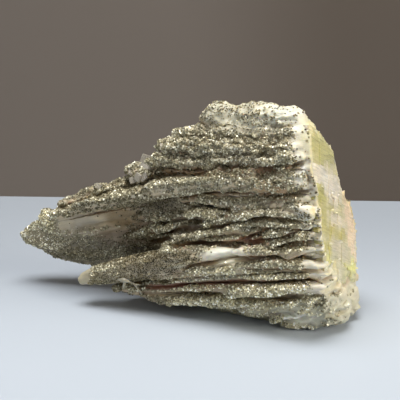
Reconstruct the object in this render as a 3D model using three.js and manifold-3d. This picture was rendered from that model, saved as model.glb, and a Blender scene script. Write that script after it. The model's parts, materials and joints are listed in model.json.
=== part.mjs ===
// A hand specimen of barite: one mass of thin parallel crystals, grown together as a stack, whose front
// and back edges stand out as ridges. All of them dip towards the left, where they taper out at different
// lengths, the longest as a horn. The right-hand ends are broken off on one tilted cleavage face.
//
// Frame, in millimetres: +X runs along the crystals towards the broken face, +Y towards the back of the
// specimen and +Z up. The origin is on the ground, under the middle of the bounding box.

import * as THREE from "three";
import { mergeVertices } from "three/addons/utils/BufferGeometryUtils.js";
import Module from "manifold-3d";

const wasm = await Module();
wasm.setup();

// ---------------------------------------------------------------- driving dimensions

const FACE_FOOT = 58.5; // where the broken face meets the ground, along X
const FACE_LEAN = THREE.MathUtils.degToRad(9.6); // the face leans back, so that it looks slightly up
const PLATE_PROUD = 0.9; // how far the cleavage plates stand out of the broken face
const ROOT_SETBACK = 0.4; // how far behind the broken face a blade's rounded end stops
const ROOT_ROUND = 4; // length of that rounded end
const BLADE_SIDES = 12; // facets round a blade
const BLADE_STEPS = 10; // facets along it
const SECTION_POWER = 2.5; // above 2, a section is fuller than an ellipse
const CREST_SHARE = 0.25; // a crest lies this share of the thickness above the blade's middle
const GROUND = 200; // side of the blocks that cut the ground and the broken face

// The trunk carries every blade. Each row is one cross-section from the horn's tip to beyond the broken
// face: where it is along X, then its lowest and highest Z, and its front and back Y.
const TRUNK = [
  { x: -55, bottom: 15, top: 20, front: -12.5, back: -8.5 },
  { x: -49, bottom: 12.5, top: 24.5, front: -12, back: -5 },
  { x: -36, bottom: 8.5, top: 31, front: -10, back: 1.5 },
  { x: -20, bottom: 8.5, top: 37, front: -8.5, back: 7.5 },
  { x: -6, bottom: 3, top: 46, front: -9, back: 12 },
  { x: 8, bottom: -1, top: 60, front: -12, back: 14.5 },
  { x: 26, bottom: -1.5, top: 66.5, front: -15, back: 15.5 },
  { x: 42, bottom: -1, top: 67.5, front: -16, back: 15.5 },
  { x: 52, bottom: 1, top: 67.5, front: -19, back: 15.5 },
  { x: 62, bottom: 5, top: 67.5, front: -20, back: 15.5 },
];
const TRUNK_STEPS = 20;

// The trunk's outline across X, as shares: from its front (0) to its back (1), and from its bottom (0) to
// its top (1). It is thin at the top, leans forwards there, and is widest at the back, under half height.
const OUTLINE = [
  [0.08, 0.98],
  [0.03, 0.9],
  [0.0, 0.8],
  [0.0, 0.18],
  [0.2, 0.0],
  [0.6, 0.0],
  [0.78, 0.1],
  [0.9, 0.24],
  [1.0, 0.35],
  [0.96, 0.48],
  [0.72, 0.61],
  [0.64, 0.8],
  [0.28, 0.93],
];

// Where the broken face is along X at a height.
const faceAt = (z) => FACE_FOOT - z * Math.tan(FACE_LEAN);

// The root of a blade that ends at the broken face, from its Y and Z.
const atFace = (y, z) => [faceAt(z) - ROOT_SETBACK, y, z];

// The ridges of the front, from the top down. `root` and `tip` are the two ends of the crest that shows,
// `thick` is up and down and `depth` front to back. `bow` lifts the middle, a higher `blunt` keeps the
// blade thick for longer before it closes at its tip, and `heel` is the length over which its root thins.
const FRONT_BLADES = {
  crown: { root: atFace(-17.5, 67.2), tip: [9, -9, 63.5], thick: 8, depth: 13, bow: 1.6, blunt: 7, heel: 9 },
  brow: { root: atFace(-18.5, 64.8), tip: [1, -12.5, 58.5], thick: 5.5, depth: 16, bow: 0.6, blunt: 6 },
  ledge: { root: atFace(-20.5, 61.5), tip: [-5, -13.5, 54], thick: 5.4, depth: 18, bow: 0.8, blunt: 7 },
  upper: { root: atFace(-21.5, 58.5), tip: [-8, -13, 49], thick: 5.2, depth: 18, bow: 0.4, blunt: 6 },
  shoulder: { root: [16, -9, 51.5], tip: [-18, -9, 42], thick: 8, depth: 13, bow: 0.5, blunt: 5 },
  horn_crest: { root: atFace(-22.5, 51.5), tip: [-50, -12, 24], thick: 6, depth: 15, bow: 4, blunt: 6 },
  horn_back: { root: [2, -7, 42.5], tip: [-43, -8.5, 29.5], thick: 8, depth: 9, bow: 1, blunt: 5 },
  nose: { root: [-12, -2, 22], tip: [-57, -12, 18], thick: 12, depth: 10, bow: -2, blunt: 3.4 },
  keel: { root: [-6, -1, 18], tip: [-50, -11, 14], thick: 8, depth: 11, bow: -2.5, blunt: 5 },
  fine_high: { root: atFace(-20.5, 48.5), tip: [-4, -15, 40.5], thick: 3.2, depth: 14, bow: 0.6, blunt: 4 },
  fine_low: { root: atFace(-21, 45.5), tip: [8, -15.5, 37.5], thick: 3.2, depth: 14, bow: 0.6, blunt: 4 },
  knob: { root: atFace(-22.5, 42), tip: [8, -16, 34.5], thick: 4.2, depth: 14, bow: 0.4, blunt: 5 },
  fork: { root: atFace(-21.5, 38.5), tip: [15, -17.5, 31.5], thick: 3.2, depth: 14, bow: 1.2, blunt: 6 },
  middle: { root: atFace(-22, 35.5), tip: [3, -17, 26], thick: 3.4, depth: 14, bow: 1.4, blunt: 5 },
  undercut: { root: atFace(-21.5, 32.8), tip: [-2, -17, 22.5], thick: 3.2, depth: 14, bow: 1.2, blunt: 5 },
  recess_high: { root: [22, -14, 33.5], tip: [-6, -12.5, 30], thick: 3, depth: 8, blunt: 4 },
  recess_low: { root: [20, -14, 31], tip: [-8, -12.5, 27], thick: 3, depth: 8, blunt: 4 },
  recess_foot: { root: [10, -13, 27], tip: [-18, -10.5, 22], thick: 3, depth: 8, blunt: 4 },
  prong_high: { root: atFace(-22, 29.6), tip: [26, -22, 25.5], thick: 3.4, depth: 14, bow: 0.4, blunt: 4 },
  prong: { root: [37, -22, 26], tip: [-30, -23.5, 9.5], thick: 9, depth: 10, bow: 2.4, blunt: 5, heel: 32 },
  lower: { root: atFace(-22.5, 25.6), tip: [-4, -22, 13], thick: 4.2, depth: 15, bow: 1.2, blunt: 5 },
  lower_seam: { root: atFace(-22, 22.2), tip: [4, -20, 12], thick: 3, depth: 14, bow: 0.4, blunt: 4 },
  foot: { root: atFace(-22.5, 19), tip: [-17, -19.5, 6.5], thick: 5.2, depth: 15, bow: 1.6, blunt: 6 },
  foot_seam: { root: [50, -19, 12.5], tip: [-18, -18.5, 6.5], thick: 4.4, depth: 14, bow: -2.4, blunt: 5 },
  sole: { root: [53, -18.5, 12], tip: [18, -16, 6.5], thick: 5, depth: 14, blunt: 4 },
};

// The ridges of the back are fewer and coarser. The same words, with the depth measured forwards.
const BACK_BLADES = {
  back_top: { root: atFace(-6, 62.5), tip: [6, -1, 57.5], thick: 6.5, depth: 12, bow: 1, blunt: 6 },
  back_high: { root: atFace(3, 56.5), tip: [-2, 3.5, 49.5], thick: 6, depth: 14, bow: 0.6, blunt: 5 },
  back_third: { root: atFace(6.5, 49.5), tip: [-12, 6, 40.5], thick: 5.5, depth: 16, bow: 0.8, blunt: 5 },
  back_fine: { root: atFace(8.5, 43), tip: [-6, 9.5, 34.5], thick: 4.6, depth: 16, bow: 0.6, blunt: 5 },
  back_ledge: { root: atFace(14, 36.5), tip: [-20, 8, 27], thick: 5, depth: 18, bow: 1.2, blunt: 5 },
  back_horn: { root: [12, 15, 33], tip: [-45, -2, 18.5], thick: 7, depth: 16, bow: 1.5, blunt: 4 },
  back_middle: { root: atFace(18, 31), tip: [-10, 13, 21.5], thick: 5.5, depth: 20, bow: 1, blunt: 5 },
  back_low: { root: atFace(18.8, 24.5), tip: [-22, 9, 14.5], thick: 5.5, depth: 20, bow: 1.2, blunt: 5 },
  back_seam: { root: atFace(16.5, 18.5), tip: [0, 13.5, 10.5], thick: 4.6, depth: 18, bow: 0.6, blunt: 5 },
  back_foot: { root: atFace(13, 12.5), tip: [-8, 10, 6.5], thick: 5, depth: 16, bow: 0.6, blunt: 5 },
  back_sole: { root: atFace(10, 7), tip: [18, 9, 4], thick: 5, depth: 16, blunt: 5 },
};

// Stubby crystals: the ones that the stack stands on at the lower right, and the knots along its top.
const LUMPS = [
  { at: [41.5, -9.5, 5], size: [8, 6.5, 6.5], turn: 0.3 },
  { at: [31, -12, 6], size: [9, 5, 4], turn: 2.4 },
  { at: [50.5, -13, 10], size: [6, 5, 4.6], turn: 0.9 },
  { at: [53, -16.5, 18.5], size: [4.5, 5.5, 3.6], turn: 0.2 },
  { at: [14, 5, 3.5], size: [11, 7, 5], turn: 0.5 },
  { at: [16.5, -6.5, 63], size: [8, 6.5, 6.4], turn: 0.6 },
  { at: [28.5, -8, 64.5], size: [9, 7, 5.6], turn: 1.9 },
  { at: [38.5, -10, 65.5], size: [7, 6.5, 4.8], turn: 2.8 },
  { at: [3.5, -7.5, 53], size: [7, 5.5, 3.6], turn: 1.1 },
  { at: [-12, -7.5, 43], size: [6, 5, 3], turn: 2.1 },
  { at: [-26, -6, 35.6], size: [4.5, 4, 2.6], turn: 0.8 },
  { at: [-46.5, -9, 22.5], size: [4.6, 4, 4.4], turn: 1.5 },
];

// Stubby crystals that stand in front of the broken face, along its foot.
const FACE_LUMPS = [
  { at: [54, -10, 12.5], size: [4.6, 5, 4.4], turn: 1.4 },
  { at: [54, -6, 6.5], size: [5.4, 6.5, 5], turn: 1.7 },
  { at: [55.5, 3, 7], size: [3.6, 6, 5], turn: 0.4 },
];

// Cleavage plates left standing on the broken face: middle across (Y), middle up the face, and both sizes.
const PLATES = [
  { across: -14, up: 55, wide: 8, high: 18 },
  { across: -16, up: 35, wide: 9, high: 14 },
  { across: -2, up: 44, wide: 9, high: 16 },
  { across: 7, up: 29, wide: 12, high: 12 },
  { across: -5, up: 22, wide: 10, high: 12 },
];

// ---------------------------------------------------------------- solids from three.js geometry

// A closed three.js geometry as a manifold-3d solid.
function solidOf(geometry) {
  const bare = geometry.clone();
  bare.deleteAttribute("normal");
  bare.deleteAttribute("uv");
  const merged = mergeVertices(bare, 1e-4);
  return new wasm.Manifold(
    new wasm.Mesh({
      numProp: 3,
      vertProperties: new Float32Array(merged.attributes.position.array),
      triVerts: new Uint32Array(merged.index.array),
    }),
  );
}

// Moves every vertex of a geometry to where `place` says.
function reshape(geometry, place) {
  const position = geometry.getAttribute("position");
  const vertex = new THREE.Vector3();
  for (let i = 0; i < position.count; i++) {
    place(vertex.fromBufferAttribute(position, i));
    position.setXYZ(i, vertex.x, vertex.y, vertex.z);
  }
  return geometry;
}

// cos or sin raised so that a circle becomes a fuller section.
const fuller = (value) => Math.sign(value) * Math.abs(value) ** (2 / SECTION_POWER);

// A blade is a sphere whose poles become its two ends: a rounded one inside the mass, and a tip that
// closes onto the crest. `side` is -1 at the front and 1 at the back, where the crest faces.
function bladeSolid({ root, tip, thick, depth, bow = 0, blunt, heel = ROOT_ROUND }, side) {
  const start = new THREE.Vector3(...root);
  const end = new THREE.Vector3(...tip);
  const length = start.distanceTo(end);
  const sphere = new THREE.SphereGeometry(1, BLADE_SIDES, BLADE_STEPS);
  const crest = new THREE.Vector3();
  return solidOf(
    reshape(sphere, (vertex) => {
      const along = (1 - vertex.y) / 2;
      const angle = Math.atan2(vertex.z, vertex.x);
      const fromRoot = Math.min(1, (along * length) / heel);
      const isPole = Math.hypot(vertex.x, vertex.z) < 1e-6;
      const taper = Math.sqrt(1 - along ** blunt);
      const section = isPole ? 0 : taper * Math.sqrt(1 - (1 - fromRoot) ** 2);
      crest.lerpVectors(start, end, along);
      vertex.x = crest.x;
      vertex.y = crest.y - (side * taper * depth) / 2 + (section * fuller(Math.sin(angle)) * depth) / 2;
      vertex.z = crest.z + 4 * bow * along * (1 - along) - taper * thick * CREST_SHARE;
      vertex.z += (section * fuller(Math.cos(angle)) * thick) / 2;
    }),
  );
}

// The trunk is its outline, extruded along X and fitted to the cross-sections.
function trunkSolid() {
  const heights = new THREE.CatmullRomCurve3(TRUNK.map((s) => new THREE.Vector3(s.x, s.bottom, s.top)));
  const depths = new THREE.CatmullRomCurve3(TRUNK.map((s) => new THREE.Vector3(s.x, s.front, s.back)));
  for (const curve of [heights, depths]) curve.curveType = "catmullrom";
  const outline = new THREE.Shape(OUTLINE.map(([y, z]) => new THREE.Vector2(y, z)));
  const bar = new THREE.ExtrudeGeometry(outline, { depth: 1, steps: TRUNK_STEPS, bevelEnabled: false });
  return solidOf(
    reshape(bar, (vertex) => {
      const height = heights.getPoint(vertex.z);
      const depth = depths.getPoint(vertex.z);
      const [across, up] = [vertex.x, vertex.y];
      vertex.x = height.x;
      vertex.y = THREE.MathUtils.lerp(depth.y, depth.z, across);
      vertex.z = THREE.MathUtils.lerp(height.y, height.z, up);
    }),
  );
}

function lumpSolid({ at, size, turn }) {
  const lump = new THREE.IcosahedronGeometry(1, 1);
  lump.rotateY(turn).scale(...size).translate(...at);
  return solidOf(lump);
}

// A block standing on the broken face's plane: `near` is how far its left side is from the plane.
function onBrokenFace({ across, up, wide, high, near, far }) {
  const block = new THREE.BoxGeometry(far - near, wide, high);
  block.translate((near + far) / 2, across, up);
  block.rotateY(-FACE_LEAN).translate(FACE_FOOT, 0, 0);
  return solidOf(block);
}

// ---------------------------------------------------------------- the mass

const joined = (pieces) => pieces.reduce((mass, piece) => mass.add(piece));

const grown = joined([
  trunkSolid(),
  ...Object.values(FRONT_BLADES).map((blade) => bladeSolid(blade, -1)),
  ...Object.values(BACK_BLADES).map((blade) => bladeSolid(blade, 1)),
  ...LUMPS.map(lumpSolid),
]);

const beyondFace = onBrokenFace({ across: 0, up: 0, wide: GROUND, high: 2 * GROUND, near: 0, far: GROUND });
const plates = PLATES.map((plate) => onBrokenFace({ ...plate, near: -PLATE_PROUD, far: PLATE_PROUD }));
const waste = plates.reduce((block, plate) => block.subtract(plate), beyondFace);
const broken = grown.subtract(waste);

const ground = new THREE.BoxGeometry(GROUND, GROUND, GROUND).translate(0, 0, -GROUND / 2);
const standing = joined([broken, ...FACE_LUMPS.map(lumpSolid)]).subtract(solidOf(ground));

const { min, max } = standing.boundingBox();
const mass = standing.translate([-(min[0] + max[0]) / 2, -(min[1] + max[1]) / 2, 0]);

function geometryOf(solid) {
  const { numProp, vertProperties, triVerts } = solid.getMesh();
  const geometry = new THREE.BufferGeometry();
  const positions = new THREE.InterleavedBuffer(vertProperties, numProp);
  geometry.setAttribute("position", new THREE.InterleavedBufferAttribute(positions, 3, 0));
  geometry.setIndex(new THREE.BufferAttribute(triVerts, 1));
  return geometry.toNonIndexed();
}

const barite = new THREE.MeshStandardMaterial({ color: 0xd8cdb4, roughness: 0.55, metalness: 0 });
const bariteMesh = new THREE.Mesh(geometryOf(mass), barite);
bariteMesh.name = "barite_mass";

const specimen = new THREE.Group();
specimen.add(bariteMesh);

export default specimen;
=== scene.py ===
# %% [markdown]
# A hand specimen of barite
# -------------------------
# The real thing is one mass of thin parallel crystals, with a crust of tiny metallic sulphide crystals
# on its ridges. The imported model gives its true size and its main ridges. This lesson adds finer
# ridges, worn lumps, a crisp broken face, the crust, and the colours of each zone. Everything is worked
# out in millimetres and turned into Blender's metres at the end.

# %% Load the frame
import json
import math
import random

import bmesh
import bpy
import numpy as np
from mathutils import Euler, Matrix, Vector, noise

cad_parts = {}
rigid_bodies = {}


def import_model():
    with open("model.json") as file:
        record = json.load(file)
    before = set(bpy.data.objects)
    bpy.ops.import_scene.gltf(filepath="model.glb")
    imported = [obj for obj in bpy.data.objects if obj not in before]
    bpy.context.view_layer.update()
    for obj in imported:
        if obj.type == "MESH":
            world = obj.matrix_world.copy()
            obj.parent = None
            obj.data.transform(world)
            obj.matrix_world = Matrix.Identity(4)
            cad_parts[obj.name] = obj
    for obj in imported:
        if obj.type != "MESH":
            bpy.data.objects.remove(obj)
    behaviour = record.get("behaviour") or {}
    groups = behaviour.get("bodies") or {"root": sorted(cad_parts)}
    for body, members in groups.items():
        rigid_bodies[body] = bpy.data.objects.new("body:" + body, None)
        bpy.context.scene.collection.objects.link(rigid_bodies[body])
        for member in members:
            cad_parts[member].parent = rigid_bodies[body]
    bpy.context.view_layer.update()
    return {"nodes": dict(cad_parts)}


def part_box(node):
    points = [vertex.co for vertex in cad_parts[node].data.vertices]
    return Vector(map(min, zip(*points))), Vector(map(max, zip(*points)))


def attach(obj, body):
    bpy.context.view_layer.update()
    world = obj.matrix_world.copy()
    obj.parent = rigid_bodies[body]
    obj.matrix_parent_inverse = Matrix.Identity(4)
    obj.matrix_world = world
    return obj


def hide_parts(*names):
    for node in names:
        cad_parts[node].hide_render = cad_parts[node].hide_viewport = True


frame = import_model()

low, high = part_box("barite_mass")
MM = 0.001  # one millimetre, in Blender's metres
random.seed(11)
print("frame box in mm:", [round(v / MM, 1) for v in (*low, *high)])

# %% [markdown]
# The camera looks at the front of the ridges from the side of the broken face, a little from above.
# It stands more than three lengths away with a long lens, so the ridges stay nearly parallel.

# %% Camera
AZIMUTH, ELEVATION = math.radians(24), math.radians(16)
DISTANCE = 360 * MM
LENS = 98.8
AIM = Vector((4.1, 2.8, -0.9)) * MM  # from the specimen's middle to the point looked at


def show(name, data):
    """Puts a mesh, a lamp or a camera in the scene, as an object."""
    thing = bpy.data.objects.new(name, data)
    bpy.context.scene.collection.objects.link(thing)
    return thing


look_at = Vector((0, 0, (low.z + high.z) / 2)) + AIM
towards_camera = Vector((
    math.sin(AZIMUTH) * math.cos(ELEVATION),
    -math.cos(AZIMUTH) * math.cos(ELEVATION),
    math.sin(ELEVATION),
))
camera = show("camera", bpy.data.cameras.new("camera"))
camera.location = look_at + towards_camera * DISTANCE
camera.rotation_mode = "QUATERNION"
camera.rotation_quaternion = (-towards_camera).to_track_quat("-Z", "Y")
camera.data.lens = LENS
camera.data.clip_start = 0.01
bpy.context.scene.camera = camera
print("camera at", [round(v, 3) for v in camera.location])

# %% [markdown]
# Colours are easiest to choose as the 0 to 255 numbers of a paint chart, but a shader works in linear
# light, so a helper turns one into the other. The others add a node and feed its inputs, each with a
# plain value or another node's output.

# %% Colour and node helpers
def paint(red, green, blue):
    """A colour given as 0 to 255 display values, as the linear RGBA that a shader takes."""
    return (*(((v / 255 + 0.055) / 1.055) ** 2.4 for v in (red, green, blue)), 1.0)


def feed(node, inputs):
    """Gives a node's inputs, by name or number, a plain value or another node's output."""
    for name, value in inputs.items():
        if isinstance(value, bpy.types.NodeSocket):
            node.id_data.links.new(value, node.inputs[name])
        else:
            node.inputs[name].default_value = value


def add_node(tree, kind, inputs=None, **options):
    """Adds a node, sets its options and feeds its inputs."""
    made = tree.nodes.new(kind)
    for name, value in options.items():
        setattr(made, name, value)
    feed(made, inputs or {})
    return made


def object_place(tree):
    return add_node(tree, "ShaderNodeTexCoord").outputs["Object"]


def attribute(tree, name, output):
    return add_node(tree, "ShaderNodeAttribute", attribute_name=name).outputs[output]


def noisy(tree, place, scale, detail, roughness=0.5):
    return add_node(tree, "ShaderNodeTexNoise", {
        "Vector": place, "Scale": scale, "Detail": detail, "Roughness": roughness}).outputs["Fac"]


def remapped(tree, value, start, end, to_start=0, to_end=1, **options):
    """A value that runs from to_start to to_end while the one given runs from start to end."""
    return add_node(tree, "ShaderNodeMapRange", {
        "Value": value, "From Min": start, "From Max": end, "To Min": to_start, "To Max": to_end},
        **options).outputs[0]


def mixed(tree, share, colour, other, blend="MIX"):
    """A share of another colour laid over the first one."""
    return add_node(tree, "ShaderNodeMix", {"Factor": share, 6: colour, 7: other},
                    data_type="RGBA", blend_type=blend).outputs[2]


def new_material(name, colour, roughness):
    """A material, its node tree and its shader."""
    material = bpy.data.materials.new(name)
    material.use_nodes = True
    shader = material.node_tree.nodes["Principled BSDF"]
    feed(shader, {"Base Color": colour, "Roughness": roughness})
    return material, material.node_tree, shader


# %% [markdown]
# The stage is a pale table top with a wall behind it, which lets light and view through from its
# back, so that it never hides the specimen. Both are painted with shade: the table darkens towards the
# back, and the wall towards its right. A broad lamp almost straight overhead gives the soft shadow
# right under the specimen, and leaves its ridged front in shade. A weaker one lights the broken face.

# %% Table top and wall
STAGE_SIZE = 4.0
WALL_TURN = math.radians(2.6)  # the wall is not quite square to the view
WALL_BEHIND = 0.122  # how far behind the specimen's middle the wall stands
away = Vector((-math.sin(AZIMUTH), math.cos(AZIMUTH), 0))
aside = Vector((math.cos(AZIMUTH), math.sin(AZIMUTH), 0))


def falloff_paint(name, near, far, direction, reach, roughness):
    """A paint that goes from one colour to another along a direction, as painted shade where the light falls
    off. reach is where, in metres.
    """
    material, tree, shader = new_material(name, near, roughness)
    along = add_node(tree, "ShaderNodeVectorMath", {0: object_place(tree), 1: direction},
                     operation="DOT_PRODUCT").outputs["Value"]
    share = remapped(tree, along, *reach, interpolation_type="SMOOTHSTEP")
    feed(shader, {"Base Color": mixed(tree, share, near, far)})
    return material


def mesh_from(bm, name):
    """Turns a finished bmesh into a mesh."""
    mesh = bpy.data.meshes.new(name)
    bm.to_mesh(mesh)
    bm.free()
    return mesh


def stage_plane(name, centre, tilt, yaw, material):
    """A square plane of the stage, tilted about X and then turned about Z."""
    bm = bmesh.new()
    bmesh.ops.create_grid(bm, x_segments=1, y_segments=1, size=STAGE_SIZE / 2)
    place = Matrix.Translation(centre) @ Matrix.Rotation(yaw, 4, "Z") @ Matrix.Rotation(tilt, 4, "X")
    bmesh.ops.transform(bm, matrix=place, verts=bm.verts)
    mesh = mesh_from(bm, name)
    mesh.materials.append(material)
    show(name, mesh)


# painted shade: the table top darkens towards the back, away from the light
table_paint = falloff_paint("table", paint(184, 192, 201), paint(160, 167, 175), away, (-0.06, 0.11), 0.55)
stage_plane("table_top", Vector((0, 0, 0)), 0, AZIMUTH, table_paint)

# painted shade: the wall darkens towards its right
wall_paint = falloff_paint("wall", paint(112, 103, 95), paint(92, 82, 73), aside, (-0.01, 0.07), 0.9)
tree = wall_paint.node_tree
backs = add_node(tree, "ShaderNodeNewGeometry").outputs["Backfacing"]
clear = add_node(tree, "ShaderNodeBsdfTransparent").outputs[0]
painted = tree.nodes["Principled BSDF"].outputs[0]
one_sided = add_node(tree, "ShaderNodeMixShader", {0: backs, 1: painted, 2: clear}).outputs[0]
feed(tree.nodes["Material Output"], {"Surface": one_sided})
wall_middle = away * WALL_BEHIND + Vector((0, 0, STAGE_SIZE / 2))
stage_plane("wall", wall_middle, math.pi / 2, AZIMUTH - WALL_TURN, wall_paint)

# %% Lamps
LAMPS = (  # name, place in metres, size, power, colour and spread in degrees
    ("overhead", (-0.02, -0.02, 0.75), 0.6, 9.1, (1, 1, 1), 180),
    ("front", (-0.08, -0.6, 0.42), 0.5, 0.07, (1, 1, 1), 60),
    ("side", (0.75, -0.05, 0.35), 0.4, 0.62, (1.0, 0.95, 0.86), 60),
)
ROOM_LIGHT = 0.05
for name, place, size, power, colour, spread in LAMPS:
    data = bpy.data.lights.new(name, "AREA")
    data.shape = "DISK"
    data.size = size
    data.energy = power
    data.color = colour
    data.spread = math.radians(spread)  # a small spread keeps the light off the wall
    lamp = show(name, data)
    lamp.location = place
    lamp.rotation_mode = "QUATERNION"
    lamp.rotation_quaternion = (look_at - Vector(place)).to_track_quat("-Z", "Y")
room = bpy.data.worlds.new("room")
room.use_nodes = True
feed(room.node_tree.nodes["Background"], {"Color": paint(205, 206, 210), "Strength": ROOM_LIGHT})
bpy.context.scene.world = room
bpy.context.scene.view_settings.view_transform = "Standard"  # colours come out as painted

# %% [markdown]
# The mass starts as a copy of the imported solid. A voxel remesh turns its triangles into one even skin,
# fine enough to be shaped. It also leaves a small fillet in each groove, as crystals that grew
# together have.

# %% Knit the mass into one even skin
VOXEL = 0.42  # mm
MERGE = 1e-7  # metres; points closer than this are one point
node = frame["nodes"]["barite_mass"]


def solid_bmesh():
    """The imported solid, with its triangles joined up."""
    bm = bmesh.new()
    bm.from_mesh(node.data)
    bmesh.ops.remove_doubles(bm, verts=bm.verts, dist=MERGE)
    return bm


def finished_mesh(thing):
    """What an object's modifiers, or a curve's thickness, make of it."""
    graph = bpy.context.evaluated_depsgraph_get()
    return bpy.data.meshes.new_from_object(thing.evaluated_get(graph))


def apply_modifiers(thing):
    made = finished_mesh(thing)
    thing.modifiers.clear()
    old, thing.data = thing.data, made
    bpy.data.meshes.remove(old)


skin = show("barite_skin", mesh_from(solid_bmesh(), "barite_skin"))
remesh = skin.modifiers.new("remesh", "REMESH")
remesh.mode = "VOXEL"
remesh.voxel_size = VOXEL * MM
apply_modifiers(skin)
print("skin:", len(skin.data.vertices), "points")

# %% [markdown]
# Arrays of points are quick to work on. These helpers read a mesh's points and normals in millimetres,
# and give soft masks: an ellipsoid zone that is 1 inside and fades out, and a smooth step.

# %% Points, normals and zones
def read(collection, name, width):
    flat = np.empty(len(collection) * width, dtype=np.float32)
    collection.foreach_get(name, flat)
    return flat.reshape(-1, width).astype(float)


def points_of(mesh):
    return read(mesh.vertices, "co", 3) / MM


def normals_of(mesh):
    return read(mesh.vertex_normals, "vector", 3)


def set_points(mesh, points):
    mesh.vertices.foreach_set("co", (points * MM).astype(np.float32).ravel())
    mesh.update()


def step(value, start, end):
    """0 before start, 1 after end, and smooth between them. start may be the larger."""
    t = np.clip((value - start) / (end - start), 0, 1)
    return t * t * (3 - 2 * t)


def reach_of(points, centre, radii):
    """How far out each point lies from the centre of an ellipsoid, or an ellipse: 1 on its edge."""
    return np.sqrt((((points - centre) / radii) ** 2).sum(axis=1))


def zone(points, centre, radii, soft=0.5):
    """1 inside an ellipsoid, falling to 0 over the outer share `soft` of its radii."""
    return step(reach_of(points, centre, radii), 1.0, 1.0 - soft)


def wavy(points, size, seed=0.0):
    """Smooth noise from -1 to 1 at every point. size is its grain along X, Y and Z, in mm."""
    return np.array([noise.noise(Vector(p)) for p in points / size + seed])


def relaxed(mesh, points, rounds):
    """The points after so many rounds of moving each one to the mean of its neighbours."""
    pairs = read(mesh.edges, "vertices", 2).astype(int)
    ends, others = np.concatenate([pairs, pairs[:, ::-1]]).T
    count = np.maximum(1, np.bincount(ends, minlength=len(points)))
    for _ in range(rounds):
        total = [np.bincount(ends, points[others, axis], len(points)) for axis in range(3)]
        points = np.stack(total, axis=1) / count[:, None]
    return points


# %% [markdown]
# On the front, the ridges that catch the eye are strands: crystals that part and meet again, with dark
# grooves between. Each is a line on the front, by X and Z in mm. A crest reaches further up than down
# from its line, so that its top slopes and its lower edge overhangs.

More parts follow.
